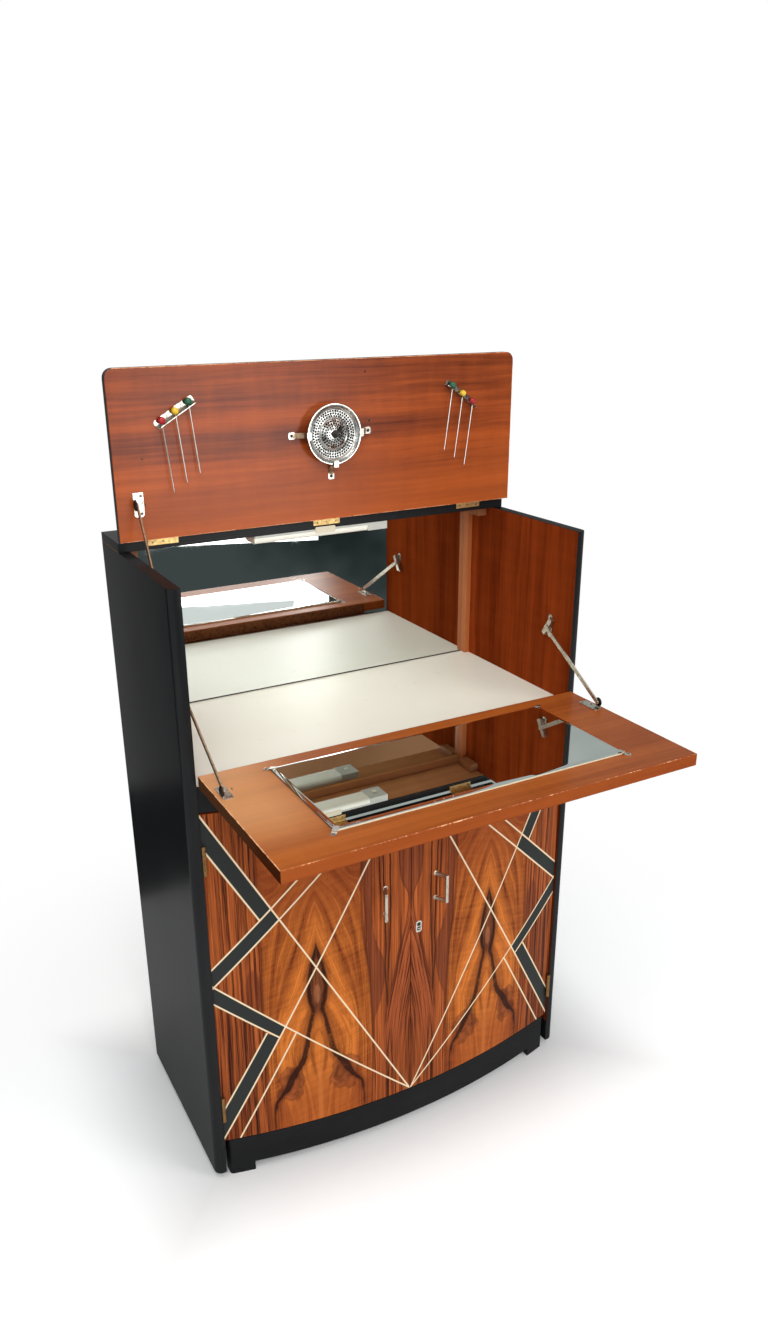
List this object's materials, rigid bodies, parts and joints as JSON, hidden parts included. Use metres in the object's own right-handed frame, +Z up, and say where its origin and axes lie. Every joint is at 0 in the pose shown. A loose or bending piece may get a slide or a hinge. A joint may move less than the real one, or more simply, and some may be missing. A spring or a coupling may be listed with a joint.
{
  "type": "bar cabinet with fold out shelf",
  "caption": "Bow fronted bar cabinet: a lifting lid with a juicer and cocktail sticks, a fold out mirrored shelf on stays, a mirror backed bar space, and a cupboard with two inlaid doors.",
  "frame": {"origin": "on the floor, at the middle of the bounding box with the lid and the fold out shelf open", "axes": "+Z up, front towards -Y, +X to the right of someone who faces the front"},
  "size_m": [0.8, 0.7196, 1.4742],
  "materials": {
    "black_paint": "black satin paint",
    "mahogany": "polished red-brown veneer, black painted outside",
    "pale_wood": "plain",
    "amber_wood": "varnished",
    "figured_veneer": "polished, with inlaid lines and black bands",
    "cream_laminate": "satin",
    "cream_paint": "satin",
    "mirror": "silvered",
    "brass": "aged",
    "chrome": "polished",
    "nickel": "dull plated",
    "dark_steel": "darkened",
    "white_plastic": "satin",
    "grey_plastic": "satin",
    "red_plastic": "gloss",
    "yellow_plastic": "gloss",
    "green_plastic": "gloss"
  },
  "bodies": {
    "case": {"side_left": "black_paint", "side_right": "black_paint", "rear_top_board": "black_paint", "bow_shelf_board": "black_paint", "bow_rail": "black_paint", "plinth_front": "black_paint", "plinth_rear": "black_paint", "cupboard_floor": "mahogany", "cupboard_shelf": "mahogany", "back_panel": "pale_wood", "corner_batten_left": "pale_wood", "corner_batten_right": "pale_wood", "glue_block_left": "amber_wood", "glue_block_right": "amber_wood", "cream_worktop": "cream_laminate", "light_bracket": "cream_paint", "back_mirror": "mirror", "lid_hinge_left": "brass", "lid_hinge_middle": "brass", "lid_hinge_right": "brass", "flap_hinge_base": "brass", "door_hinge_left_top": "brass", "door_hinge_left_bottom": "brass", "door_hinge_right_top": "brass", "door_hinge_right_bottom": "brass", "light_diffuser": "white_plastic", "light_housing": "grey_plastic"},
    "lid": {"lid_panel": "mahogany", "lid_stay_plate": "dark_steel", "juicer_bowl": "chrome", "juicer_strainer": "chrome", "juicer_clip_left": "nickel", "juicer_clip_right": "nickel", "juicer_clip_bottom": "nickel", "stick_holder_left": "nickel", "stick_holder_right": "nickel", "cocktail_stick_left_1": "red_plastic", "cocktail_stick_left_2": "yellow_plastic", "cocktail_stick_left_3": "green_plastic", "cocktail_stick_right_1": "green_plastic", "cocktail_stick_right_2": "yellow_plastic", "cocktail_stick_right_3": "red_plastic"},
    "lid_rod": {"lid_stay_rod": "nickel"},
    "lid_guide": {"lid_stay_guide": "nickel"},
    "flap": {"flap_panel": "mahogany", "flap_mirror": "mirror", "flap_hinge_leaf": "brass", "flap_stay_plate_left": "nickel", "flap_stay_plate_right": "nickel"},
    "flap_rod_left": {"flap_stay_rod_left": "nickel"},
    "flap_rod_right": {"flap_stay_rod_right": "nickel"},
    "flap_guide_left": {"flap_stay_guide_left": "nickel"},
    "flap_guide_right": {"flap_stay_guide_right": "nickel"},
    "left_door": {"door_left": "figured_veneer", "door_handle_left": "chrome"},
    "right_door": {"door_right": "figured_veneer", "door_handle_right": "chrome", "lock_plate": "nickel"},
    "bolt": {"lock_bolt": "brass"},
    "switch": {"light_switch": "white_plastic"}
  },
  "joints": [
    {"name": "lid_hinge", "type": "hinge", "parent": "case", "child": "lid", "pos_m": [0, 0.24845, 1.1896], "axis": [1, 0, 0], "range_deg": [0, 90]},
    {"name": "lid_stay_rod_pivot", "type": "hinge", "parent": "lid", "child": "lid_rod", "pos_m": [-0.368, 0.21885, 1.2543], "axis": [-1, 0, 0], "range_deg": [0, 113]},
    {"name": "lid_stay_guide_pivot", "type": "hinge", "parent": "case", "child": "lid_guide", "pos_m": [-0.374, 0.15285, 1.135], "axis": [-1, 0, 0], "range_deg": [0, 23]},
    {"name": "flap_hinge", "type": "hinge", "parent": "case", "child": "flap", "pos_m": [0, -0.02945, 0.835], "axis": [-1, 0, 0], "range_deg": [0, 90]},
    {"name": "flap_stay_rod_left_pivot", "type": "hinge", "parent": "flap", "child": "flap_rod_left", "pos_m": [-0.368, -0.11915, 0.87], "axis": [1, 0, 0], "range_deg": [0, 110]},
    {"name": "flap_stay_guide_left_pivot", "type": "hinge", "parent": "case", "child": "flap_guide_left", "pos_m": [-0.374, 0.04385, 0.972], "axis": [1, 0, 0], "range_deg": [0, 20]},
    {"name": "flap_stay_rod_right_pivot", "type": "hinge", "parent": "flap", "child": "flap_rod_right", "pos_m": [0.368, -0.11915, 0.87], "axis": [1, 0, 0], "range_deg": [0, 110]},
    {"name": "flap_stay_guide_right_pivot", "type": "hinge", "parent": "case", "child": "flap_guide_right", "pos_m": [0.374, 0.04385, 0.972], "axis": [1, 0, 0], "range_deg": [0, 20]},
    {"name": "door_left_hinge", "type": "hinge", "parent": "case", "child": "left_door", "pos_m": [-0.376, -0.02215, 0.434], "axis": [0, 0, -1], "range_deg": [0, 105]},
    {"name": "door_right_hinge", "type": "hinge", "parent": "case", "child": "right_door", "pos_m": [0.376, -0.02215, 0.434], "axis": [0, 0, 1], "range_deg": [0, 105]},
    {"name": "light_switch_press", "type": "slide", "parent": "case", "child": "switch", "axis": [0, 0, 1], "range_m": [0, 0.0025], "stiffness_N_per_m": 300},
    {"name": "lock_bolt_slide", "type": "slide", "parent": "right_door", "child": "bolt", "axis": [-1, 0, 0], "range_m": [0, 0.007]}
  ],
  "couplings": [
    {"joint": "lid_stay_rod_pivot", "follows": "lid_hinge", "ratio": 1.2452},
    {"joint": "lid_stay_guide_pivot", "follows": "lid_hinge", "ratio": 0.24525},
    {"joint": "flap_stay_rod_left_pivot", "follows": "flap_hinge", "ratio": 1.2107},
    {"joint": "flap_stay_guide_left_pivot", "follows": "flap_hinge", "ratio": 0.21072},
    {"joint": "flap_stay_rod_right_pivot", "follows": "flap_hinge", "ratio": 1.2107},
    {"joint": "flap_stay_guide_right_pivot", "follows": "flap_hinge", "ratio": 0.21072}
  ]
}
